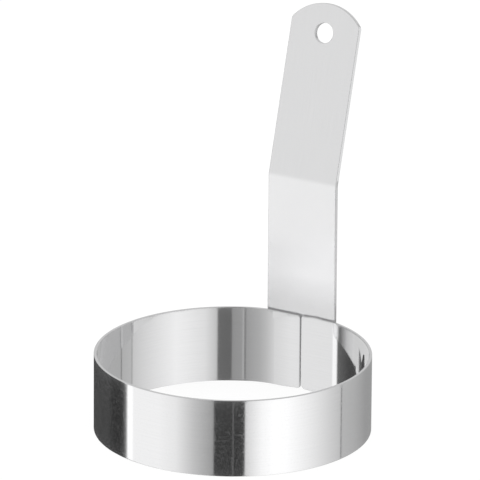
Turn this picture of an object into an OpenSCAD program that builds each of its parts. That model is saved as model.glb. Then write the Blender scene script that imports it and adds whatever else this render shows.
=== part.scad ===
// Egg ring: a band rolled from polished stainless strip, closed by a flat strap handle
// that is spot-welded across its seam. The ring's axis is Z, its base rests on Z = 0,
// and the handle stands at +Y.

/* [Ring] */
// Outside diameter of the ring
ring_d = 89; // [70:0.5:120]
// Height of the band, which is the width of the strip it is rolled from
band_h = 25.4; // [16:0.2:45]
// Thickness of the band
band_t = 1; // [0.6:0.1:1.4]

/* [Flat behind the handle] */
// Distance from the handle's right edge to the crease, where the flat breaks into the round
crease_past = 0.2; // [0:0.1:1]
// Outside radius of the crease on the right
crease_r = 2.5; // [1.6:0.1:6]
// Outside radius of the soft bend on the left
ease_r = 24; // [10:1:28]

/* [Seam] */
// Gap between the two ends of the band
seam_gap = 0.4; // [0.2:0.1:1.2]
// Distance of the seam to the right of the handle's middle
seam_shift = 0.6; // [-2:0.2:2]
// Radius of both corners of the band's left end
left_corner_r = 0.9; // [0.4:0.1:3.5]
// Radius of the upper corner of the band's right end
right_top_corner_r = 0.5; // [0.4:0.1:3.5]
// Radius of the lower corner of the band's right end
right_low_corner_r = 1.8; // [0.4:0.1:3.5]

/* [Handle] */
// Width of the strap
strap_w = 25.1; // [20:0.5:30]
// Thickness of the strap
strap_t = 1.5; // [1:0.1:2]
// Height of the bend line above the top rim of the band
rise = 46.2; // [25:0.5:80]
// Angle that the grip leans outwards above the bend, in degrees
lean = 15.8; // [5:0.2:40]
// Inside radius of the bend
bend_r = 3; // [1:0.5:6]
// Length of the grip, from the bend line to the top of its round end
grip_l = 57.5; // [35:0.5:90]
// Radius of the round end of the grip
end_r = 16; // [15.5:0.5:30]
// Radius that blends the round end into the sides
shoulder_r = 2; // [1:0.25:4]
// Height of the strap's lower end above the base
tab_up = 2; // [1:0.25:5]
// Radius of the corners of the strap's lower end
tab_corner_r = 2; // [1:0.25:4]

/* [Hanging hole] */
// Diameter of the hanging hole
hole_d = 6.6; // [4:0.2:10]
// Distance from the top of the round end to the hole's centre
hole_in = 9.6; // [7:0.2:16]

/* [Spot welds] */
// Diameter of a weld nugget
weld_d = 4; // [3:0.25:5]
// Distance from the seam to the middle of each weld
weld_off = 5; // [4:0.25:6]
// Heights of the welds, as shares of the band's height
weld_z_shares = [0.3, 0.72];
// Share of each sheet's thickness that a nugget reaches into
weld_reach_share = 0.55; // [0.3:0.05:0.8]
// Diameter of the electrode's mark on the outer face of the strap
mark_d = 5.5; // [4:0.25:7]
// Depth of the electrode's mark
mark_depth = 0.12; // [0.05:0.01:0.25]

/* [Hidden] */
$fn = 180;

// Overrun of every cut
over = 1;
// How far a blend's round lies below the faces it joins, so that it meets each in a clean edge
blend_dip = 0.005;
// How far the waste outside a blend runs past both ends of its turn, in degrees
blend_lap = 6;
// Steps of the bend in the strap
bend_steps = 8;
// Diameter of a nugget's two ends, as a share of its waist at the joint
nugget_end_share = 0.6;

// The flat is the chord behind the handle
ring_r = ring_d / 2;
crease_x = strap_w / 2 + crease_past;
flat_y = sqrt(pow(ring_r, 2) - pow(crease_x, 2));

// The two ends of the band
left_end_x = seam_shift - seam_gap / 2;
right_end_x = seam_shift + seam_gap / 2;

// The bend in the strap, by the line where its two front faces would meet
bend_line_z = band_h + rise;
bend_front_r = bend_r + strap_t;
bend_axis_z = bend_line_z - bend_front_r * tan(lean / 2);

// The round end of the grip: its centre, and the centres of the blends into the sides
end_up = grip_l - end_r;
shoulder_x = strap_w / 2 - shoulder_r - blend_dip;
shoulder_rise = sqrt(pow(end_r - shoulder_r - blend_dip, 2) - pow(shoulder_x, 2));

// The electrode's mark is a cap of a large ball
mark_ball_r = (pow(mark_d / 2, 2) + pow(mark_depth, 2)) / (2 * mark_depth);

// Point at a distance and an angle from the origin
function polar(r, angle) = [r * cos(angle), r * sin(angle)];

// Middle of the blend of outside radius r between the flat and the round
function blend_x(r) = sqrt(pow(ring_r - r - blend_dip, 2) - pow(blend_y(r), 2));
function blend_y(r) = flat_y - r - blend_dip;

// What lies outside a round of radius r about the origin, over its turn and a little past it
module blend_waste(r, from, turn) {
    far = 2 * r;
    difference() {
        polygon([
            [0, 0],
            polar(far, from - blend_lap),
            polar(far, from + turn / 2),
            polar(far, from + turn + blend_lap)
        ]);
        circle(r);
    }
}

// Cut through a plate that stands on the XZ plane and is thick along +Y
module through(thick) {
    translate([0, thick + over, 0]) rotate([90, 0, 0])
        linear_extrude(thick + 2 * over) children();
}

// Waste of a square corner at (x, y) that gets radius r. side and up are 1 or -1
// and say which way the corner points
module corner_waste(x, y, side, up, r) {
    inset = r + blend_dip;
    middle = atan2(up, side);
    translate([x - side * inset, y - up * inset]) blend_waste(r, middle - 45, 90);
}

// Plan of the band's outline, moved inwards by inset
module band_plan(inset) {
    difference() {
        intersection() {
            circle(ring_r - inset);
            translate([-ring_r, -ring_r]) square([ring_d, ring_r + flat_y - inset]);
        }
        translate([blend_x(crease_r), blend_y(crease_r)]) {
            turn = atan2(blend_x(crease_r), blend_y(crease_r));
            blend_waste(crease_r - inset, 90 - turn, turn);
        }
        translate([-blend_x(ease_r), blend_y(ease_r)]) {
            turn = atan2(blend_x(ease_r), blend_y(ease_r));
            blend_waste(ease_r - inset, 90, turn);
        }
    }
}

// Puts a child at each weld, with its Z pointing out of the ring from the joint's plane
module at_welds() {
    for (side = [-1, 1], z_share = weld_z_shares)
        translate([seam_shift + side * weld_off, flat_y, z_share * band_h])
            rotate([-90, 0, 0]) children();
}

// Weld nugget: the strap is above the joint's plane and the band below it
module nugget() {
    rotate_extrude() polygon([
        [0, -weld_reach_share * band_t],
        [nugget_end_share * weld_d / 2, -weld_reach_share * band_t],
        [weld_d / 2, 0],
        [nugget_end_share * weld_d / 2, weld_reach_share * strap_t],
        [0, weld_reach_share * strap_t]
    ]);
}

// Band: rolled strip with a flat for the handle, open at the seam
module ring_band() {
    color("silver") difference() {
        linear_extrude(band_h) difference() {
            band_plan(0);
            band_plan(band_t);
            translate([left_end_x, flat_y - band_t - over]) square([seam_gap, band_t + 2 * over]);
        }
        translate([0, flat_y - band_t, 0]) through(band_t) {
            corner_waste(left_end_x, 0, 1, -1, left_corner_r);
            corner_waste(left_end_x, band_h, 1, 1, left_corner_r);
            corner_waste(right_end_x, 0, -1, -1, right_low_corner_r);
            corner_waste(right_end_x, band_h, -1, 1, right_top_corner_r);
        }
        at_welds() nugget();
    }
}

// Side view of the bent strap: the distance behind the front face along X, the height along Y
module strap_side() {
    heading = [sin(lean), cos(lean)];
    axis = [bend_front_r, bend_axis_z];
    front = [for (i = [0 : bend_steps]) axis + polar(bend_front_r, 180 - lean * i / bend_steps)];
    back = [for (i = [bend_steps : -1 : 0]) axis + polar(bend_r, 180 - lean * i / bend_steps)];
    reach = (grip_l + over) * heading;
    polygon(concat(
        [[0, tab_up]],
        front,
        [front[bend_steps] + reach, back[0] + reach],
        back,
        [[strap_t, tab_up]]
    ));
}

// Puts a child in the grip's own place: the bend line on X, the front face on Y = 0
// and the length of the grip along Z
module at_grip() {
    translate([0, flat_y, bend_line_z]) rotate([-lean, 0, 0]) children();
}

// What the round end of the grip leaves, in the plane of the grip
module grip_end_waste() {
    difference() {
        translate([-strap_w, end_up]) square([2 * strap_w, grip_l]);
        translate([0, end_up]) circle(end_r);
    }
    turn = atan2(shoulder_rise, shoulder_x);
    translate([shoulder_x, end_up + shoulder_rise]) blend_waste(shoulder_r, 0, turn);
    translate([-shoulder_x, end_up + shoulder_rise]) blend_waste(shoulder_r, 180 - turn, turn);
}

// Strap: its leg lies flat behind the band and stands up, and the grip leans out above the bend
module handle_strap() {
    color("gainsboro") difference() {
        translate([-strap_w / 2, flat_y, 0]) rotate([90, 0, 90])
            linear_extrude(strap_w) strap_side();
        translate([0, flat_y, 0]) through(strap_t)
            for (side = [-1, 1]) corner_waste(side * strap_w / 2, tab_up, side, -1, tab_corner_r);
        at_grip() {
            through(strap_t) grip_end_waste();
            translate([0, -over, grip_l - hole_in]) rotate([-90, 0, 0])
                cylinder(d = hole_d, h = strap_t + 2 * over);
        }
        at_welds() {
            nugget();
            translate([0, 0, strap_t + mark_ball_r - mark_depth]) sphere(mark_ball_r);
        }
    }
}

// Spot welds: nuggets of fused metal that join the strap to both ends of the band
module spot_welds() {
    color("darkgray") at_welds() nugget();
}

ring_band();
handle_strap();
spot_welds();
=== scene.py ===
import bmesh
import bpy
import numpy as np
from mathutils import Matrix, Vector


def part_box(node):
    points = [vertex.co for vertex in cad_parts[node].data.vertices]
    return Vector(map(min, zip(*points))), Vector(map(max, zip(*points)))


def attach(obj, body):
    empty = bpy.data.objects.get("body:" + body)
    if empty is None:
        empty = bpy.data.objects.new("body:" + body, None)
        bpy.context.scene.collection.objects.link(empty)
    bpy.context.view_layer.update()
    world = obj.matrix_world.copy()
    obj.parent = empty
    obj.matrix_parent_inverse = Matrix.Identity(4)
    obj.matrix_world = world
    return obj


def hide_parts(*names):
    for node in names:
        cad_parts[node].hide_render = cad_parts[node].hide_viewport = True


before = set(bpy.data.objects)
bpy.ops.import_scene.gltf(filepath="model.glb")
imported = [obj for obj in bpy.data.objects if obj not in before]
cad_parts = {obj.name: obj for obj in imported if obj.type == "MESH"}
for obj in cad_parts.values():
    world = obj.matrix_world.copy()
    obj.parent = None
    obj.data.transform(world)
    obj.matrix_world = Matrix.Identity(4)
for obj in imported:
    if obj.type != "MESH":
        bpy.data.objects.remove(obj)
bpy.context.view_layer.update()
scene = bpy.context.scene
mm = 0.001


# Band
# A stainless strip an inch wide, rolled into a ring and polished. It is pressed flat behind the
# handle, breaks into the round at a crease on the right and eases into it on the left.
band_low, band_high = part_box("ring_band")
ring_r = -band_low.x
flat_y = band_high.y
band_h = band_high.z
band_t = 1 * mm
band_edge_r = 0.18 * mm
crease_r = 2.5 * mm
ease_r = 24 * mm
# A very shallow bow leads from the soft bend into the flat.
bow_r = 280 * mm
bow_turn = np.radians(1.3)
seam_gap = 0.4 * mm
seam_shift = 0.6 * mm
left_corner_r = 0.9 * mm
right_top_corner_r = 0.5 * mm
right_low_corner_r = 1.8 * mm
# Rolling lifts the lower edge towards the seam, and arches the right end's upper edge.
seam_lift = 0.42 * mm
seam_lift_reach = 5 * mm
arch_height = 0.3 * mm
arch_place = 5 * mm
arch_reach = 3 * mm
# Wear reaches this far from an edge, and these shares of the mottle show outside and inside.
wear_reach = 0.35 * mm
outside_mottle = 0.85
inside_mottle = 0.25
# Points of the mesh: around the ring, round the crease, round a corner of an end, up a face and
# round an edge.
around_steps = 620
crease_steps = 24
corner_steps = 14
height_steps = 22
edge_steps = 6


def strip_edge(thick, radius, steps):
    """Rounded edge of a strip, from one face to the other: how far each point lies inside the
    edge, and its depth below the first face. Two quarter rounds with a straight between them."""
    turn = np.linspace(0, np.pi / 2, steps)
    inside = radius * (1 - np.sin(turn))
    depth = radius * (1 - np.cos(turn))
    return np.concatenate([inside, inside[::-1]]), np.concatenate([depth, thick - depth[::-1]])


def grid_faces(rows, columns, close_rows=False, close_columns=False):
    """Quads between neighbouring points of a grid stored row by row. A closed direction joins
    its last line of points to its first."""
    row = np.arange(rows if close_rows else rows - 1)[:, None]
    column = np.arange(columns if close_columns else columns - 1)[None, :]
    next_row = (row + 1) % rows
    next_column = (column + 1) % columns
    corners = [
        row * columns + column,
        next_row * columns + column,
        next_row * columns + next_column,
        row * columns + next_column,
    ]
    return np.stack(corners, -1).reshape(-1, 4)


def add_piece(name, points, faces, strip_uv, edge, spotted, film):
    """Mesh object from arrays: points in metres, quads, the place of each point on the flat strip
    as a UV map, and three attributes: how worn a point is, by its nearness to an edge, how much
    of the mottle it shows, and how much of the pale film."""
    mesh = bpy.data.meshes.new(name)
    mesh.from_pydata(points.reshape(-1, 3).tolist(), [], faces)
    mesh.update()
    corner_point = np.zeros(len(mesh.loops), np.int32)
    mesh.loops.foreach_get("vertex_index", corner_point)
    uv = mesh.uv_layers.new(name="strip")
    uv.data.foreach_set("uv", strip_uv.reshape(-1, 2)[corner_point].astype(np.float32).ravel())
    for kind, values in (("edge", edge), ("spotted", spotted), ("film", film)):
        mark = mesh.attributes.new(kind, "FLOAT", "POINT")
        mark.data.foreach_set("value", values.ravel().astype(np.float32))
    shape = bmesh.new()
    shape.from_mesh(mesh)
    bmesh.ops.remove_doubles(shape, verts=shape.verts, dist=0.001 * mm)
    bmesh.ops.recalc_face_normals(shape, faces=shape.faces)
    shape.to_mesh(mesh)
    shape.free()
    mesh.shade_smooth()
    piece = bpy.data.objects.new(name, mesh)
    scene.collection.objects.link(piece)
    return piece


def band_line(s):
    """Point and outward normal on the outside of the band's plan, at distance s from the right
    end. In words: straight to the crease, round the crease, round the ring, round the soft
    bend, along a very shallow bow that straightens it, and straight to the left end."""
    crease_y = flat_y - crease_r
    crease_x = np.sqrt((ring_r - crease_r) ** 2 - crease_y**2)
    bow_y = flat_y - bow_r
    ease_y = bow_y + (bow_r - ease_r) * np.cos(bow_turn)
    ease_x = np.sqrt((ring_r - ease_r) ** 2 - ease_y**2)
    bow_x = ease_x - (bow_r - ease_r) * np.sin(bow_turn)
    crease_turn = np.arctan2(crease_x, crease_y)
    ease_turn = np.arctan2(ease_x, ease_y)
    start_x = seam_shift + seam_gap / 2
    end_x = seam_shift - seam_gap / 2
    lengths = [
        crease_x - start_x,
        crease_r * crease_turn,
        ring_r * (2 * np.pi - crease_turn - ease_turn),
        ease_r * (ease_turn - bow_turn),
        bow_r * bow_turn,
        bow_x + end_x,
    ]
    stops = np.cumsum([0] + lengths)
    last_stretch = len(lengths) - 1
    stretch = np.clip(np.searchsorted(stops, s, side="right") - 1, 0, last_stretch)
    along = s - stops[stretch]
    turned = [
        0 * s,
        along / crease_r,
        crease_turn + along / ring_r,
        2 * np.pi - ease_turn + along / ease_r,
        2 * np.pi - bow_turn + along / bow_r,
        2 * np.pi + 0 * s,
    ]
    angle = np.pi / 2 - np.choose(stretch, turned)
    normal = np.stack([np.cos(angle), np.sin(angle)], -1)
    centre_x = np.array([start_x, crease_x, 0, -ease_x, -bow_x, -bow_x])[stretch]
    centre_x = centre_x + along * ((stretch == 0) | (stretch == last_stretch))
    centre_y = np.array([0, crease_y, 0, ease_y, bow_y, 0])[stretch]
    radius = np.array([flat_y, crease_r, ring_r, ease_r, bow_r, flat_y])[stretch]
    point = np.stack([centre_x, centre_y], -1) + radius[:, None] * normal
    return point, normal, stops


band_stops = band_line(np.zeros(1))[2]
band_length = band_stops[-1]
# Steps from 0 to 1 that are finest at 0, for the rounds at the ends.
end_steps = 1 - np.cos(np.linspace(0, np.pi / 2, corner_steps))
# A small step beside a change of shape keeps the shading of each side to itself.
tick = 0.06 * mm
band_s = np.unique(
    np.concatenate(
        [
            right_low_corner_r * end_steps,
            right_top_corner_r * end_steps,
            band_length - left_corner_r * end_steps,
            band_edge_r * end_steps[::2],
            band_length - band_edge_r * end_steps[::2],
            np.linspace(band_stops[1], band_stops[2], crease_steps),
            band_stops[1:-1] - tick,
            band_stops[1:-1] + tick,
            np.linspace(0, band_length, around_steps),
        ]
    ).round(9)
)

edge_in, edge_depth = strip_edge(band_t, band_edge_r, edge_steps)
face_low = band_edge_r + tick
face_z = np.linspace(1 * mm, band_h - 1 * mm, height_steps)
face_z = np.concatenate([[face_low], face_z, [band_h - face_low]])
loop_z = np.concatenate([face_z, band_h - edge_in, face_z[::-1], edge_in])
loop_depth = np.concatenate([0 * face_z, edge_depth, band_t + 0 * face_z, edge_depth[::-1]])

base, normal, _ = band_line(band_s)
from_end = np.minimum(band_s, band_length - band_s)


def round_cut(distance, radius):
    """How much a round of this radius takes off an edge, at a distance from its end."""
    near = np.clip(radius - distance, 0, None)
    return radius - np.sqrt(radius**2 - near**2)


from_left = band_length - band_s
low_cut = round_cut(band_s, right_low_corner_r) + round_cut(from_left, left_corner_r)
high_cut = round_cut(band_s, right_top_corner_r) + round_cut(from_left, left_corner_r)
low_cut = low_cut + seam_lift * np.exp(-((from_end / seam_lift_reach) ** 2))
high_cut = high_cut - arch_height * np.exp(-(((band_s - arch_place) / arch_reach) ** 2))
z = low_cut[:, None] + loop_z[None, :] / band_h * (band_h - high_cut - low_cut)[:, None]
edge_cut = round_cut(from_end, band_edge_r)
depth = band_t / 2 + (loop_depth[None, :] - band_t / 2) * (1 - 2 * edge_cut[:, None] / band_t)
plan = base[:, None, :] - depth[..., None] * normal[:, None, :]
band_points = np.concatenate([plan, z[..., None]], -1)
band_faces = grid_faces(len(band_s), len(loop_z), close_columns=True).tolist()
last = (len(band_s) - 1) * len(loop_z)
band_faces.append(list(range(len(loop_z))))
band_faces.append(list(range(last, last + len(loop_z)))[::-1])
band_uv = np.stack(np.broadcast_arrays(band_s[:, None], z), -1)
rim_gap = np.minimum(loop_z, band_h - loop_z)[None, :]
band_edge = np.exp(-np.minimum(rim_gap, from_end[:, None]) / wear_reach)
# A pale film dulls the wall next to its rims: much over the last millimetre below the upper rim,
# a little over the last five, and some over two above the lower rim. The rest has a trace of it.
film = 0.9 * np.exp((loop_z - band_h) / (1 * mm)) + 0.3 * np.exp((loop_z - band_h) / (5 * mm))
film = film + 0.6 * np.exp(-loop_z / (2 * mm)) + 0.08
band_film = np.where(rim_gap > band_edge_r, film[None, :], 0) + 0 * band_edge
band_spotted = np.where(loop_depth < band_t / 2, outside_mottle, inside_mottle)
band_spotted = band_spotted[None, :] + 0 * band_edge
band = add_piece(
    "ring_band_polished",
    band_points,
    band_faces,
    band_uv,
    band_edge,
    band_spotted,
    band_film,
)


def noise(tree, coords, scale, stretch=(1, 1, 1), detail=2.0):
    """Noise over coords that are first multiplied by stretch."""
    mapping = tree.nodes.new("ShaderNodeMapping")
    mapping.inputs["Scale"].default_value = stretch
    tree.links.new(coords, mapping.inputs["Vector"])
    texture = tree.nodes.new("ShaderNodeTexNoise")
    texture.inputs["Scale"].default_value = scale
    texture.inputs["Detail"].default_value = detail
    tree.links.new(mapping.outputs["Vector"], texture.inputs["Vector"])
    return texture.outputs["Fac"]


def ranged(tree, value, low, high, to_low=0.0, to_high=1.0):
    """value between low and high, spread over to_low and to_high and held there."""
    node = tree.nodes.new("ShaderNodeMapRange")
    tree.links.new(value, node.inputs["Value"])
    node.inputs["From Min"].default_value = low
    node.inputs["From Max"].default_value = high
    node.inputs["To Min"].default_value = to_low
    node.inputs["To Max"].default_value = to_high
    return node.outputs["Result"]


def combine(tree, kind, first, second=0.0):
    """Math node over two sockets or numbers."""
    node = tree.nodes.new("ShaderNodeMath")
    node.operation = kind
    for socket, value in zip(node.inputs, (first, second)):
        if isinstance(value, (int, float)):
            socket.default_value = value
        else:
            tree.links.new(value, socket)
    return node.outputs["Value"]


# Finish of rolled strip, shared by the band and the handle: fine streaks along the strip,
# a few pits, a mottle of duller spots in clusters, and faint hand smudges. Scales are in cells
# to the metre of strip.
finish = bpy.data.node_groups.new("rolled_strip_finish", "ShaderNodeTree")
finish.interface.new_socket("Strip", in_out="INPUT", socket_type="NodeSocketVector")
for name in ("Streaks", "Pits", "Smudges", "Mottle"):
    finish.interface.new_socket(name, in_out="OUTPUT", socket_type="NodeSocketFloat")
strip_in = finish.nodes.new("NodeGroupInput").outputs["Strip"]
finish_out = finish.nodes.new("NodeGroupOutput")
streaks = noise(finish, strip_in, 1, (60, 5200, 1), 3.0)
pits = ranged(finish, noise(finish, strip_in, 2600, detail=1.0), 0.74, 0.80)
smudges = ranged(finish, noise(finish, strip_in, 55, (1, 1.6, 1), 4.0), 0.42, 0.72)
spots = ranged(finish, noise(finish, strip_in, 1300, (1, 0.8, 1), 2.0), 0.48, 0.64)
clusters = ranged(finish, noise(finish, strip_in, 260, detail=2.0), 0.35, 0.62, 0.4, 1.0)
mottle = combine(finish, "MULTIPLY", spots, clusters)
for name, value in zip(("Streaks", "Pits", "Smudges", "Mottle"), (streaks, pits, smudges, mottle)):
    finish.links.new(value, finish_out.inputs[name])


def attribute_value(tree, name):
    """Value of the mesh's attribute of this name."""
    node = tree.nodes.new("ShaderNodeAttribute")
    node.attribute_name = name
    return node.outputs["Fac"]


# Smudges, spots, worn edges and streaks add these shares of the spread in roughness.
smudge_share = 0.12
spot_share = 0.35
wear_share = 0.6
streak_share = 0.06
# The spots add this much to the film. Where the sum is full, the steel is this far metallic.
spot_film = 0.9
full_film = 1.5
filmed_metallic = 0.918
# The darkest streaks keep this share of the colour, a pit is this many streaks deep, and a worn
# edge keeps this share of the grain.
streak_tone = 0.965
pit_depth = 1.5
edge_grain = 0.1


def steel(name, base, roughness, spread, streak_height, shade=None):
    """Bright stainless steel. base is its colour, roughness the value of its cleanest places,
    spread how much the marks add, and streak_height the grain's depth. shade makes a socket from
    the tree and the place on the strip, and the colour is multiplied by it."""
    material = bpy.data.materials.new(name)
    material.use_nodes = True
    tree = material.node_tree
    shader = tree.nodes["Principled BSDF"]
    uv = tree.nodes.new("ShaderNodeUVMap")
    uv.uv_map = "strip"
    group = tree.nodes.new("ShaderNodeGroup")
    group.node_tree = finish
    tree.links.new(uv.outputs["UV"], group.inputs["Strip"])
    streaks = group.outputs["Streaks"]
    worn = ranged(tree, attribute_value(tree, "edge"), 0.05, 1.0)
    tone = tree.nodes.new("ShaderNodeMix")
    tone.data_type = "RGBA"
    tone.inputs["A"].default_value = (*[c * streak_tone for c in base], 1)
    tone.inputs["B"].default_value = (*base, 1)
    tree.links.new(ranged(tree, streaks, 0.25, 0.6), tone.inputs["Factor"])
    shaded = tone.outputs["Result"]
    if shade:
        scaled = tree.nodes.new("ShaderNodeVectorMath")
        scaled.operation = "SCALE"
        tree.links.new(shaded, scaled.inputs[0])
        tree.links.new(shade(tree, uv.outputs["UV"]), scaled.inputs["Scale"])
        shaded = scaled.outputs["Vector"]
    tree.links.new(shaded, shader.inputs["Base Color"])
    spots = combine(tree, "MULTIPLY", group.outputs["Mottle"], attribute_value(tree, "spotted"))
    pale = combine(tree, "MULTIPLY", spots, spot_film)
    pale = combine(tree, "ADD", attribute_value(tree, "film"), pale)
    bare = ranged(tree, pale, 0, full_film, 1.0, filmed_metallic)
    tree.links.new(bare, shader.inputs["Metallic"])
    marks = ranged(tree, group.outputs["Smudges"], 0, 1, 0, smudge_share)
    marks = combine(tree, "ADD", marks, combine(tree, "MULTIPLY", spots, spot_share))
    marks = combine(tree, "ADD", marks, ranged(tree, worn, 0, 1, 0, wear_share))
    marks = combine(tree, "ADD", marks, ranged(tree, streaks, 0.3, 0.7, 0, streak_share))
    dullness = ranged(tree, marks, 0, 1, roughness, roughness + spread)
    tree.links.new(dullness, shader.inputs["Roughness"])
    pits = combine(tree, "MULTIPLY", group.outputs["Pits"], pit_depth)
    height = combine(tree, "SUBTRACT", streaks, pits)
    bump = tree.nodes.new("ShaderNodeBump")
    tree.links.new(ranged(tree, worn, 0, 0.5, 1.0, edge_grain), bump.inputs["Strength"])
    bump.inputs["Distance"].default_value = streak_height
    tree.links.new(height, bump.inputs["Height"])
    tree.links.new(bump.outputs["Normal"], shader.inputs["Normal"])
    return material


steel_colour = (0.86, 0.86, 0.865)
grain_height = 0.00002 * mm
band_roughness = 0.055
band_spread = 0.17
polished = steel("polished_band_steel", steel_colour, band_roughness, band_spread, grain_height)
band.data.materials.append(polished)
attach(band, "root")
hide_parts("ring_band")


# Handle
# One flat stainless strap, stamped with a round top and a hanging hole and bent once at mid
# height. Its lower end lies behind the band across the seam and is spot-welded there.
strap_low, strap_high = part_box("handle_strap")
strap_w = strap_high.x - strap_low.x
strap_t = 1.5 * mm
strap_edge_r = 0.18 * mm
tab_up = strap_low.z
tab_corner_r = 2 * mm
lean = np.radians(15.8)
bend_r = 3 * mm
bend_line_z = 71.6 * mm
grip_l = 57.5 * mm
end_r = 16 * mm
shoulder_r = 2 * mm
hole_r = 3.3 * mm
hole_in = 9.6 * mm
mark_r = 2.75 * mm
mark_depth = 0.12 * mm
weld_off = 5 * mm
weld_z = np.array([0.3, 0.72]) * band_h
strap_mottle = 0.2
# Points of the mesh: on half of each lower corner, on half of each shoulder, across the strap,
# along it and round the bend.
tab_corner_steps = 7
shoulder_steps = 6
across_steps = 64
along_steps = 210
bend_steps = 13
# The hole takes up this many cells of the face's grid each way, and shifts the grid out to
# hole_reach times as far.
hole_cells = 8
hole_reach = 2.3
# On the UV map the back face is unrolled beside the front face, this far from it.
back_shift = 60 * mm

bend_front_r = bend_r + strap_t
bend_start = bend_line_z - bend_front_r * np.tan(lean / 2)
bend_length = bend_front_r * lean
strap_top = bend_start + bend_length + grip_l - bend_front_r * np.tan(lean / 2)
end_centre = strap_top - end_r
hole_centre = strap_top - hole_in
half_w = strap_w / 2
shoulder_x = half_w - shoulder_r
shoulder_rise = np.sqrt((end_r - shoulder_r) ** 2 - shoulder_x**2)
shoulder_turn = np.arctan2(shoulder_rise, shoulder_x)


def bent(across, along, depth):
    """Place of a point of the flat strap once it is bent. across and along are its place on the
    front face and depth is how far it lies behind it. Below the bend along is a height; in the
    bend it turns about the bend's axis; above it it runs on along the leaning grip."""
    turn = np.clip((along - bend_start) / bend_front_r, 0, lean)
    run = along - bend_start - bend_front_r * turn
    reach = bend_front_r - depth
    y = flat_y + bend_front_r - reach * np.cos(turn) + run * np.sin(turn)
    height = bend_start + reach * np.sin(turn) + run * np.cos(turn)
    return np.stack([across + 0 * y, y, height], -1)


def arc(centre, radius, start, end, steps):
    """Round stretch of an outline: points centre + radius * (cos, sin) and these normals."""
    angle = np.linspace(start, end, steps)
    normal = np.stack([np.cos(angle), np.sin(angle)], -1)
    return np.array(centre) + radius * normal, normal


side_steps = np.unique(
    np.concatenate(
        [
            np.linspace(tab_up + tab_corner_r, end_centre + shoulder_rise, along_steps),
            bend_start + np.linspace(0, 1, bend_steps) * bend_length,
            [bend_start - tick, bend_start + bend_length + tick],
        ]
    ).round(9)
)
corner = (half_w - tab_corner_r, tab_up + tab_corner_r)
shoulder = (shoulder_x, end_centre + shoulder_rise)
low_corner = arc(corner, tab_corner_r, -np.pi / 4, 0, tab_corner_steps)
high_corner = arc(shoulder, shoulder_r, 0, shoulder_turn / 2, shoulder_steps)
side = np.stack([half_w + 0 * side_steps, side_steps], -1)
side_normal = np.array([1.0, 0.0]) + 0 * side
right = [
    np.concatenate([low[:-1], mid, high[1:]])
    for low, mid, high in zip(low_corner, (side, side_normal), high_corner)
]
left = [part * [-1, 1] for part in right]

round_steps = across_steps - 2 * shoulder_steps + 3
round_top = arc((0, end_centre), end_r, shoulder_turn, np.pi - shoulder_turn, round_steps)
top_right = arc(shoulder, shoulder_r, shoulder_turn / 2, shoulder_turn, shoulder_steps)
top = [
    np.concatenate([part[:-1], mid, (part[:-1] * [-1, 1])[::-1]])[::-1]
    for part, mid in zip(top_right, round_top)
]
bottom_right = arc(corner, tab_corner_r, -np.pi / 2, -np.pi / 4, tab_corner_steps)
flat_x = np.linspace(-corner[0], corner[0], across_steps - 2 * tab_corner_steps + 3)
flat_line = np.stack([flat_x, tab_up + 0 * flat_x], -1)
flat_normal = np.array([0.0, -1.0]) + 0 * flat_line
bottom = [
    np.concatenate([(part[1:] * [-1, 1])[::-1], mid, part[1:]])
    for part, mid in zip(bottom_right, (flat_line, flat_normal))
]


def inset(line, amount):
    """The line moved inwards by amount, along its normals."""
    return line[0] - amount * line[1]


def face_patch(amount):
    """Flat face of the strap inside its outline, which is moved inwards by amount. It is spread
    between its four sides: the blend of left and right, plus the blend of bottom and top, less
    the blend of the four corners."""
    low, high, near, far = [inset(line, amount) for line in (bottom, top, left, right)]
    a = (np.arange(len(low)) / (len(low) - 1))[None, :, None]
    b = ((near[:, 1] - near[0, 1]) / (near[-1, 1] - near[0, 1]))[:, None, None]
    sides = (1 - a) * near[:, None] + a * far[:, None]
    ends = (1 - b) * low[None] + b * high[None]
    corners = (1 - a) * ((1 - b) * low[0] + b * high[0]) + a * ((1 - b) * low[-1] + b * high[-1])
    return sides + ends - corners


def hole_patch(grid, radius, cells, reach):
    """Opens a round hole in a grid, and gives the grid and the row and column of the hole's middle.
    Counted from there, the square ring of points at distance cells goes onto the circle, and the
    shift fades out at reach times this distance."""
    column = grid.shape[1] // 2
    row = np.argmin(np.abs(grid[:, column, 1] - hole_centre))
    rows, columns = np.indices(grid.shape[:2])
    square = np.maximum(np.abs(rows - row) / cells, np.abs(columns - column) / cells)
    offset = grid - [0, hole_centre]
    distance = np.linalg.norm(offset, axis=-1) + 1e-9
    fade = np.clip((square - 1) / (reach - 1), 0, 1)
    fade = fade * fade * (3 - 2 * fade)
    target = (1 - fade) * radius * np.maximum(square, 1) + fade * distance
    return offset * (target / distance)[..., None] + [0, hole_centre], row, column


points, faces, uvs, edges = [], [], [], []


def add_patch(flat, depth, quads, edge, unrolled):
    """Bends a patch of flat points and adds it to the strap. unrolled is each point's place on
    the strip with its edges folded out."""
    first = sum(map(len, points))
    faces.extend((quads + first).tolist())
    points.append(bent(flat[..., 0], flat[..., 1], depth).reshape(-1, 3))
    uvs.append(unrolled[..., ::-1].reshape(-1, 2))
    edges.append((edge + 0 * flat[..., 0]).ravel())


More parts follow.
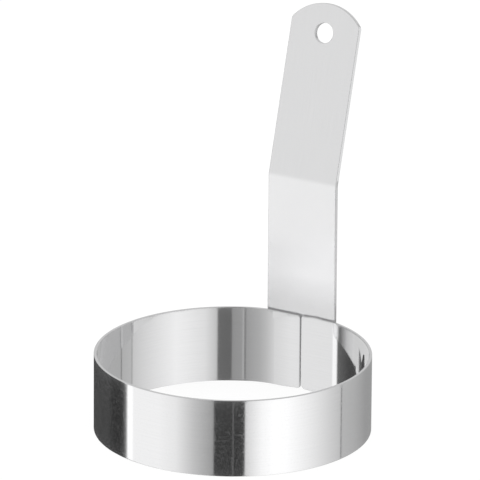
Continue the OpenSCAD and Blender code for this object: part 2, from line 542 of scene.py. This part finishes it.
edge_in, edge_depth = strip_edge(strap_t, strap_edge_r, edge_steps)
face_in = strap_edge_r + tick
for face_depth in (0, strap_t):
    patch = face_patch(face_in)
    patch, row, column = hole_patch(patch, hole_r + face_in, hole_cells, hole_reach)
    depth = face_depth + 0 * patch[..., 0]
    if face_depth:
        for weld_x in (seam_shift - weld_off, seam_shift + weld_off):
            for height in weld_z:
                away = np.hypot(patch[..., 0] - weld_x, patch[..., 1] - height) / mark_r
                depth = depth - mark_depth * np.clip(1 - away**2, 0, None)
    quads = grid_faces(*patch.shape[:2])
    cell_row, cell_column = np.indices((patch.shape[0] - 1, patch.shape[1] - 1)) + 0.5
    in_hole = np.maximum(np.abs(cell_row - row), np.abs(cell_column - column)) < hole_cells
    quads = quads[~in_hole.ravel()]
    if not face_depth:
        quads = quads[:, ::-1]
    unrolled = patch * [-1, 1] + [back_shift, 0] if face_depth else patch
    add_patch(patch, depth, quads, 0.0, unrolled)

run = np.arange(-hole_cells, hole_cells)
held = np.full(2 * hole_cells, hole_cells)
ring_rows = row + np.concatenate([-held, run, held, -run])
ring_columns = column + np.concatenate([run, held, -run, -held])
hole_line = patch[ring_rows, ring_columns] - [0, hole_centre]
hole_normal = -hole_line / np.linalg.norm(hole_line, axis=-1)[:, None]
hole_line = [[0, hole_centre] - hole_r * hole_normal, hole_normal]

outline = [
    np.concatenate([low[:-1], far[:-1], high[:0:-1], near[:0:-1]])
    for low, far, high, near in zip(bottom, right, top, left)
]
skirt_in = np.concatenate([[face_in], edge_in, [face_in]])
skirt_depth = np.concatenate([[0], edge_depth, [strap_t]])
for line in (outline, hole_line):
    skirt = line[0][:, None] - skirt_in[None, :, None] * line[1][:, None]
    quads = grid_faces(skirt.shape[0], skirt.shape[1], close_rows=True)
    unrolled = line[0][:, None] + skirt_depth[None, :, None] * line[1][:, None]
    add_patch(skirt, skirt_depth[None, :], quads, 1.0, unrolled)

strap_edge = np.concatenate(edges)
strap = add_piece(
    "handle_strap_satin",
    np.concatenate(points),
    faces,
    np.concatenate(uvs),
    strap_edge,
    strap_mottle + 0 * strap_edge,
    0 * strap_edge,
)


# The painted shade low on the strap keeps this share of the brightness at its lower end and fades
# upwards. The painted shade in the joint is a line that keeps this share, and lies just above the
# rim.
low_shade_share = 0.80
low_shade_from = band_h + 3.5 * mm
low_shade_to = band_h + 14.5 * mm
joint_shade_share = 0.72
joint_shade_z = band_h + 0.1 * mm
joint_shade_half = 0.2 * mm
joint_shade_fade = 0.55 * mm
dip_depth = 0.8 * mm
dip_half = 0.2 * mm
dip_fade = 1.1 * mm


def painted_joint_shade(tree, strip):
    """1 on clean steel, less over the last centimetre above the band, where shade is painted, and
    dark in a line of painted shade in the joint along the band's rim. The line dips where the
    band's ends are rounded. The back face is clean."""
    parts = tree.nodes.new("ShaderNodeSeparateXYZ")
    tree.links.new(strip, parts.inputs["Vector"])
    height = parts.outputs["X"]
    across = parts.outputs["Y"]
    behind = ranged(tree, across, 0.4 * back_shift, 0.5 * back_shift)
    # Painted shade: darker towards the band.
    shaded_low = ranged(tree, height, low_shade_from, low_shade_to, low_shade_share, 1.0)
    from_seam = combine(tree, "ABSOLUTE", combine(tree, "SUBTRACT", across, seam_shift))
    # Painted shade in the joint: a dark line along the band's rim, which dips near the seam.
    dip = ranged(tree, from_seam, dip_half, dip_fade, dip_depth, 0.0)
    above_line = combine(tree, "SUBTRACT", combine(tree, "ADD", height, dip), joint_shade_z)
    from_line = combine(tree, "ABSOLUTE", above_line)
    clear_of_line = ranged(tree, from_line, joint_shade_half, joint_shade_fade, joint_shade_share, 1.0)
    joint_shaded = combine(tree, "MULTIPLY", shaded_low, clear_of_line)
    return combine(tree, "MAXIMUM", joint_shaded, behind)


strap_colour = (0.93, 0.93, 0.935)
strap_roughness = 0.24
strap_spread = 0.05
# The strap's colour carries painted shade: darker over the last centimetre above the band, and a
# dark line in the joint along its rim.
satin = steel(
    "satin_strap_steel",
    strap_colour,
    strap_roughness,
    strap_spread,
    grain_height,
    painted_joint_shade,
)
strap.data.materials.append(satin)
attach(strap, "root")
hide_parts("handle_strap")


# Spot welds
# Nuggets of steel fused between the strap and both ends of the band. They are sealed in the
# joint, so their solids stay as they are and get the grey of cast metal.
weld_dark = (0.42, 0.41, 0.40, 1)
weld_light = (0.58, 0.57, 0.56, 1)
weld_grain = 1800
weld_metal = bpy.data.materials.new("fused_weld_steel")
weld_metal.use_nodes = True
weld_tree = weld_metal.node_tree
weld_shader = weld_tree.nodes["Principled BSDF"]
weld_shader.inputs["Metallic"].default_value = 1.0
place = weld_tree.nodes.new("ShaderNodeTexCoord")
grains = noise(weld_tree, place.outputs["Object"], weld_grain, detail=3.0)
dull = weld_tree.nodes.new("ShaderNodeMix")
dull.data_type = "RGBA"
dull.inputs["A"].default_value = weld_dark
dull.inputs["B"].default_value = weld_light
weld_tree.links.new(grains, dull.inputs["Factor"])
weld_tree.links.new(dull.outputs["Result"], weld_shader.inputs["Base Color"])
weld_tree.links.new(ranged(weld_tree, grains, 0.3, 0.7, 0.4, 0.7), weld_shader.inputs["Roughness"])
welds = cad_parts["spot_welds"]
welds.data.materials.clear()
welds.data.materials.append(weld_metal)


# Floor
# A plain white table. The camera sees it nearly as bright as the background and with the ring's
# soft shadow on it, and the metal doesn't mirror it.
floor_size = 4.0
floor_white = (0.97, 0.97, 0.97, 1)
# The camera sees this share of a plain glow in place of the lit paper.
floor_share = 0.85
floor_glow = 1.05
floor_mesh = bpy.data.meshes.new("floor")
floor_corners = floor_size * np.array([[-1, -1, 0], [1, -1, 0], [1, 1, 0], [-1, 1, 0]])
floor_mesh.from_pydata(floor_corners.tolist(), [], [[0, 1, 2, 3]])
floor = bpy.data.objects.new("floor", floor_mesh)
scene.collection.objects.link(floor)
floor.visible_glossy = False
paper = bpy.data.materials.new("white_paper")
paper.use_nodes = True
paper_tree = paper.node_tree
paper_tree.nodes.clear()
paper_diffuse = paper_tree.nodes.new("ShaderNodeBsdfDiffuse")
paper_diffuse.inputs["Color"].default_value = floor_white
paper_glow = paper_tree.nodes.new("ShaderNodeEmission")
paper_glow.inputs["Strength"].default_value = floor_glow
paper_rays = paper_tree.nodes.new("ShaderNodeLightPath")
paper_mix = paper_tree.nodes.new("ShaderNodeMixShader")
paper_out = paper_tree.nodes.new("ShaderNodeOutputMaterial")
seen = combine(paper_tree, "MULTIPLY", paper_rays.outputs["Is Camera Ray"], floor_share)
paper_tree.links.new(seen, paper_mix.inputs["Fac"])
paper_tree.links.new(paper_diffuse.outputs["BSDF"], paper_mix.inputs[1])
paper_tree.links.new(paper_glow.outputs["Emission"], paper_mix.inputs[2])
paper_tree.links.new(paper_mix.outputs["Shader"], paper_out.inputs["Surface"])
floor_mesh.materials.append(paper)


# Clear sheets
# Two lie on the table inside the ring and one stands in front of the handle. Only reflections
# meet them: the world counts the sheets that a reflection has crossed, and picks its panels by it.
clear = bpy.data.materials.new("clear_film")
clear.use_nodes = True
clear.node_tree.nodes.clear()
clear_shader = clear.node_tree.nodes.new("ShaderNodeBsdfTransparent")
clear_out = clear.node_tree.nodes.new("ShaderNodeOutputMaterial")
clear.node_tree.links.new(clear_shader.outputs["BSDF"], clear_out.inputs["Surface"])


def staged_sheet(name, outline, material):
    """Flat sheet inside an outline of points, which only reflections meet."""
    mesh = bpy.data.meshes.new(name)
    mesh.from_pydata(outline.tolist(), [], [list(range(len(outline)))])
    mesh.materials.append(material)
    sheet = bpy.data.objects.new(name, mesh)
    scene.collection.objects.link(sheet)
    for kind in ("visible_camera", "visible_diffuse", "visible_transmission", "visible_shadow"):
        setattr(sheet, kind, False)


sheet_r = ring_r - 1.2 * band_t
sheet_steps = 96
sheet_turn = np.linspace(0, 2 * np.pi, sheet_steps, endpoint=False)
sheet_x = sheet_r * np.cos(sheet_turn)
sheet_y = sheet_r * np.sin(sheet_turn)
for name, height in (("clear_sheet_in_ring", 0.05 * mm), ("second_sheet_in_ring", 0.03 * mm)):
    staged_sheet(name, np.stack([sheet_x, sheet_y, 0 * sheet_x + height], -1), clear)

# The upright one has its lower edge just above the band's rim.
pane_x = np.array([-60, 60, 60, -60]) * mm
pane_y = flat_y - 0.3 * mm
pane_z = np.array([25.7, 25.7, 160, 160]) * mm
pane_corners = np.stack([pane_x, 0 * pane_x + pane_y, pane_z], -1)
staged_sheet("clear_sheet_at_handle", pane_corners, clear)


# Lit cards
# Small glowing cards close to the steel, which only reflections meet. Each stands in for what
# one spot of the steel reflects at a grazing angle.
camera_azimuth = np.radians(30.85)
screen_gamma = 2.2
# Heights of the cards' lower and upper ends, in millimetres
card_low = 0.2
card_top = 25.1


def at_bearing(turn, radius, height):
    """Points at a distance from the ring's axis, turn degrees right of straight away from the
    camera."""
    angle = np.pi / 2 + camera_azimuth - np.radians(turn)
    return np.stack([radius * np.cos(angle), radius * np.sin(angle), height], -1)


def level_in(colour, grey):
    """Brightness that looks like this grey, of 0 to 255, in steel of this colour."""
    return (grey / 255) ** screen_gamma / colour[0]


def lit_card(name, grey):
    """Material that glows so that it looks like this grey in the steel."""
    material = bpy.data.materials.new(name)
    material.use_nodes = True
    material.node_tree.nodes.clear()
    glow = material.node_tree.nodes.new("ShaderNodeEmission")
    level = level_in(steel_colour, grey)
    glow.inputs["Color"].default_value = (level, level, level, 1)
    glow_out = material.node_tree.nodes.new("ShaderNodeOutputMaterial")
    material.node_tree.links.new(glow.outputs["Emission"], glow_out.inputs["Surface"])
    return material


# Two stand on edge by the wall, at the ring's far left and far right. They end the endless
# grazing reflections there.
grazing_r = ring_r - band_t - np.array([1.5, 0.05, 0.05, 1.5]) * mm
grazing_z = np.array([card_low, card_low, card_top + 0.1, card_top + 0.1]) * mm
for side_name, turn, grey in (("left", -78, 170), ("right", 79, 201)):
    corners = at_bearing(np.full(4, turn), grazing_r, grazing_z)
    staged_sheet(side_name + "_grazing_card", corners, lit_card(side_name + "_card_glow", grey))


def wall_card(name, turn, height, grey):
    """Flat lit card close to the wall, between the first and the last turn. Its lower edge goes
    through the heights, in millimetres, and its upper edge is just below the rim."""
    middle = (turn[0] + turn[-1]) / 2
    chord = (ring_r - 1.05 * band_t) * np.cos(np.radians(turn[-1] - middle))
    turn = np.array([turn[0], *turn, turn[-1]])
    height = np.array([card_top, *height, card_top]) * mm
    radius = chord / np.cos(np.radians(turn - middle))
    staged_sheet(name, at_bearing(turn, radius, height), lit_card(name + "_glow", grey))


# Two more lie flat against the wall's upper part. The right one's lower edge runs up and down,
# so that the dark flags show below it as two narrow triangles.
right_turns = (62.2, 64.0, 66.1, 66.8, 67.8, 68.6, 69.5, 70.1, 71.2, 73.0, 73.1, 80.5)
right_heights = (16.3, 14.7, 13.3, 21.6, 20.5, 19.0, 16.8, 17.9, 20.0, 20.3, 17.7, 19.0)
wall_card("right_upper_card", right_turns, right_heights, 201)
wall_card("left_upper_card", (-47.5, -43.0, -37.0), (21.0, 22.5, 24.4), 204)

# One lies by the upper edge of the flat, left of the seam.
card_x = np.array([-9.9, -4.4, -4.4, -9.9]) * mm
card_y = flat_y - 1.15 * band_t
card_z = np.array([22.7, 24.3, card_top, card_top]) * mm
card_corners = np.stack([card_x, 0 * card_x + card_y, card_z], -1)
staged_sheet("flat_upper_card", card_corners, lit_card("flat_card_glow", 213))

# The last two stand beside the strap and brighten its right side face, one at the grip and one
# at the leg.
side_depth = np.array([-1.2, -1.2, 12, 12]) * mm
for name, low, high, grey in (
    ("grip_side_card", bend_start + 2 * mm, strap_top - 3 * mm, 212),
    ("leg_side_card", band_h + 4 * mm, bend_start - 1 * mm, 190),
):
    side_corners = bent(half_w + 1.5 * mm, np.array([low, high, high, low]), side_depth)
    staged_sheet(name, side_corners, lit_card(name + "_glow", grey))


# Camera
# It stands a little right of the front and looks down on the ring from far away with a long lens.
# Its azimuth is given with the lit cards.
camera_elevation = np.radians(20.493)
camera_distance = 2.4722
camera_roll = np.radians(0.4283)
camera_aim = Vector((1.697, 1.012, 63.585)) * mm
camera_lens = 577.98
camera_sensor = 36
eye = camera_distance * Vector(
    (
        np.sin(camera_azimuth) * np.cos(camera_elevation),
        -np.cos(camera_azimuth) * np.cos(camera_elevation),
        np.sin(camera_elevation),
    )
)
camera_data = bpy.data.cameras.new("camera")
camera_data.sensor_width = camera_sensor
camera_data.lens = camera_lens
camera_data.clip_end = 20
camera = bpy.data.objects.new("camera", camera_data)
look = (camera_aim - eye).to_track_quat("-Z", "Y").to_matrix().to_4x4()
camera.matrix_world = Matrix.Translation(eye) @ look @ Matrix.Rotation(camera_roll, 4, "Z")
scene.collection.objects.link(camera)
scene.camera = camera


# Studio
# A white room with soft boxes left and right of the camera, dark flags between and behind them,
# and a pale wall. Each panel is a stretch of directions, in degrees right of the camera, with
# its brightness at both ends as a grey of 0 to 255 as it looks in the steel.
around_panels = (
    ("dark wall at the back left", -180, 70, -126, 66),
    ("its darker side", -118, 54, -113, 52),
    ("dark flag beside the left box", -108, 50, -103.2, 60),
    ("its frayed edge", -100.2, 106, -98.5, 158),
    ("bare edge of the left box", -97.1, 262, -91.8, 262),
    ("left soft box", -90.5, 240, -64, 240),
    ("its fading side", -48, 230, -32, 189),
    ("grey gap beside the camera", -24, 171, -15.8, 150),
    ("dark gap of the camera, left", -14.9, 62, 0.2, 58),
    ("slit in the middle", 0.45, 120, 0.75, 120),
    ("dark gap of the camera, right", 0.95, 56, 9.9, 65),
    ("right soft box", 10.6, 208, 24, 247),
    ("its bright middle", 34, 258, 46, 256),
    ("its fading side", 64, 237, 101.2, 188),
    ("gap behind the right box", 102.0, 105, 102.4, 105),
    ("pale wall on the right", 103.2, 178, 120, 169),
    ("its far end", 144, 147, 180, 143),
)
through_panels = (
    ("dark wall at the back left", -180, 70, -118, 70),
    ("dark flag beside the left box", -112, 80, -101.4, 96),
    ("bare edge of the left box", -99.9, 248, -92, 248),
    ("left soft box", -90.5, 232, -61.4, 227),
    ("its fading side", -58, 206, -44, 183),
    ("grey card, bright end", -33, 169, -11, 151),
    ("slit in the grey card", -10.6, 112, -9.8, 112),
    ("its bright lip", -9.3, 172, -8.4, 172),
    ("grey card, dark end", -7.9, 148, 0.6, 142),
    ("dark card", 1.4, 98, 12.8, 102),
    ("right soft box", 13.8, 190, 24, 220),
    ("its bright middle", 40, 233, 50, 238),
    ("its fading side", 64, 226, 95.8, 195),
    ("gap behind the right box", 96.3, 140, 96.8, 140),
    ("pale wall on the right", 97.4, 180, 110, 172),
    ("joint in the wall", 110.6, 120, 111.3, 120),
    ("its far end", 112.0, 167, 180, 166),
)
twice_panels = (
    ("pale wall at the back left", -180, 222, -112, 224),
    ("bare edge of the left box", -106.2, 226, -105.6, 200),
    ("dark flag beside it", -104.8, 100, -100.4, 100),
    ("second dark flag", -97.6, 74, -88.8, 62),
    ("left soft box", -87.6, 222, -66, 216),
    ("its fading side", -57.5, 209, -47, 197),
    ("its shaded side", -42, 173, -32, 130),
    ("dark card", -30, 106, -23.4, 106),
    ("white card", -22.4, 214, -19.0, 236),
    ("right soft box", -17.0, 262, -9, 240),
    ("its near end", -5, 226, 0, 224),
    ("grey card", 7.5, 183, 20.8, 184),
    ("line in it", 21.3, 150, 22.5, 150),
    ("its bright end", 23.2, 212, 28.9, 222),
    ("joint in the wall", 29.8, 148, 35.2, 146),
    ("pale wall on the right", 36.4, 181, 180, 181),
)
world = bpy.data.worlds.new("studio")
scene.world = world
world.use_nodes = True
world.cycles.sampling_method = "NONE"
studio = world.node_tree
studio.nodes.clear()

direction = studio.nodes.new("ShaderNodeTexCoord")
turned = studio.nodes.new("ShaderNodeMapping")
turned.inputs["Rotation"].default_value = (0, 0, -camera_azimuth)
studio.links.new(direction.outputs["Generated"], turned.inputs["Vector"])
parts = studio.nodes.new("ShaderNodeSeparateXYZ")
studio.links.new(turned.outputs["Vector"], parts.inputs["Vector"])
towards = combine(studio, "MULTIPLY", parts.outputs["Y"], -1.0)
bearing = combine(studio, "ARCTAN2", parts.outputs["X"], towards)
bearing = combine(studio, "MULTIPLY", bearing, 180 / np.pi)

# A reflection that has crossed two sheets has left through the ring's open bottom, and one that
# has crossed all three has come from the handle as well.
rays = studio.nodes.new("ShaderNodeLightPath")
through = combine(studio, "GREATER_THAN", rays.outputs["Transparent Depth"], 1.5)
through_both = combine(studio, "GREATER_THAN", rays.outputs["Transparent Depth"], 2.5)
twice = combine(studio, "GREATER_THAN", rays.outputs["Glossy Depth"], 1.5)
thrice = combine(studio, "GREATER_THAN", rays.outputs["Glossy Depth"], 2.5)


def blend(factor, first, second):
    """Mix of two colours or sockets in the world."""
    node = studio.nodes.new("ShaderNodeMix")
    node.data_type = "RGBA"
    studio.links.new(factor, node.inputs["Factor"])
    for socket, value in ((node.inputs["A"], first), (node.inputs["B"], second)):
        if isinstance(value, tuple):
            socket.default_value = value
        else:
            studio.links.new(value, socket)
    return node.outputs["Result"]


def panel_ring(panels):
    """Brightness of a ring of panels over the bearing. It is made of four ramps, a quarter of the
    ring each, because one ramp holds 32 stops and tells only 256 directions apart."""
    angles = np.array([angle for panel in panels for angle in (panel[1], panel[3])])
    greys = np.array([grey for panel in panels for grey in (panel[2], panel[4])])
    ring = None
    for start in (-180, -90, 0, 90):
        inside = (angles > start) & (angles < start + 90)
        places = np.concatenate([[start], angles[inside], [start + 90]])
        ramp = studio.nodes.new("ShaderNodeValToRGB")
        stops = ramp.color_ramp.elements
        while len(stops) < len(places):
            stops.new(0.5)
        for stop, place in zip(stops, places):
            level = level_in(steel_colour, np.interp(place, angles, greys))
            stop.position = (place - start) / 90
            stop.color = (level, level, level, 1)
        studio.links.new(ranged(studio, bearing, start, start + 90), ramp.inputs["Fac"])
        quarter = ramp.outputs["Color"]
        past_start = combine(studio, "GREATER_THAN", bearing, start)
        ring = blend(past_start, ring, quarter) if ring else quarter
    return ring


# The handle shows the panels a little darker than the band does.
handle_share = 0.93
at_handle = combine(studio, "GREATER_THAN", rays.outputs["Transparent Depth"], 0.5)
around = studio.nodes.new("ShaderNodeVectorMath")
around.operation = "SCALE"
studio.links.new(panel_ring(around_panels), around.inputs[0])
studio.links.new(ranged(studio, at_handle, 0, 1, 1.0, handle_share), around.inputs["Scale"])
mirrored = blend(through, around.outputs["Vector"], panel_ring(through_panels))
mirrored = blend(twice, mirrored, panel_ring(twice_panels))

# From the third reflection on there is one pale tone on each side. They meet in front, over these
# degrees to both sides.
far_blend = 7
far_left = level_in(steel_colour, 236)
far_right = level_in(steel_colour, 194)
far = ranged(studio, bearing, -far_blend, far_blend, far_left, far_right)
mirrored = blend(thrice, mirrored, far)

# What the handle mirrors through the ring's open bottom is nearly white.
below_handle = level_in(strap_colour, 247)
below_handle = ranged(studio, twice, 0, 1, below_handle, below_handle / steel_colour[0])
mirrored = blend(through_both, mirrored, below_handle)

# The ceiling is grey, with a darker gap above the camera. The panels dim to panel_share towards
# it. Its lower edge is soft, between two heights of a reflection's direction, and lower by
# ceiling_drop behind the ring.
ceiling = level_in(steel_colour, 192)
gap = level_in(steel_colour, 95)
panel_share = 0.84
ceiling_from = 0.26
ceiling_to = 0.46
ceiling_drop = 0.45
beside_gap = ranged(studio, combine(studio, "ABSOLUTE", parts.outputs["X"]), 0.10, 0.24)
behind_camera = ranged(studio, towards, 0.0, -0.2)
open_ceiling = combine(studio, "MAXIMUM", beside_gap, behind_camera)
overhead = blend(open_ceiling, (gap, gap, gap, 1), (ceiling, ceiling, ceiling, 1))
dim_up = ranged(studio, parts.outputs["Z"], -0.30, 0.15, 1.0, panel_share)
dimmed = studio.nodes.new("ShaderNodeVectorMath")
dimmed.operation = "SCALE"
studio.links.new(mirrored, dimmed.inputs[0])
studio.links.new(dim_up, dimmed.inputs["Scale"])
lower_behind = ranged(studio, towards, -0.7, -0.9, 0.0, ceiling_drop)
reach_up = combine(studio, "ADD", parts.outputs["Z"], lower_behind)
at_ceiling = ranged(studio, reach_up, ceiling_from, ceiling_to)
room = blend(at_ceiling, dimmed.outputs["Vector"], overhead)

# All rays but reflections meet plain white, which is both the background and the soft light.
white = (1.0, 1.0, 1.0, 1)
shown = blend(rays.outputs["Is Glossy Ray"], white, room)
background = studio.nodes.new("ShaderNodeBackground")
world_out = studio.nodes.new("ShaderNodeOutputWorld")
studio.links.new(shown, background.inputs["Color"])
studio.links.new(background.outputs["Background"], world_out.inputs["Surface"])
scene.view_settings.view_transform = "Standard"
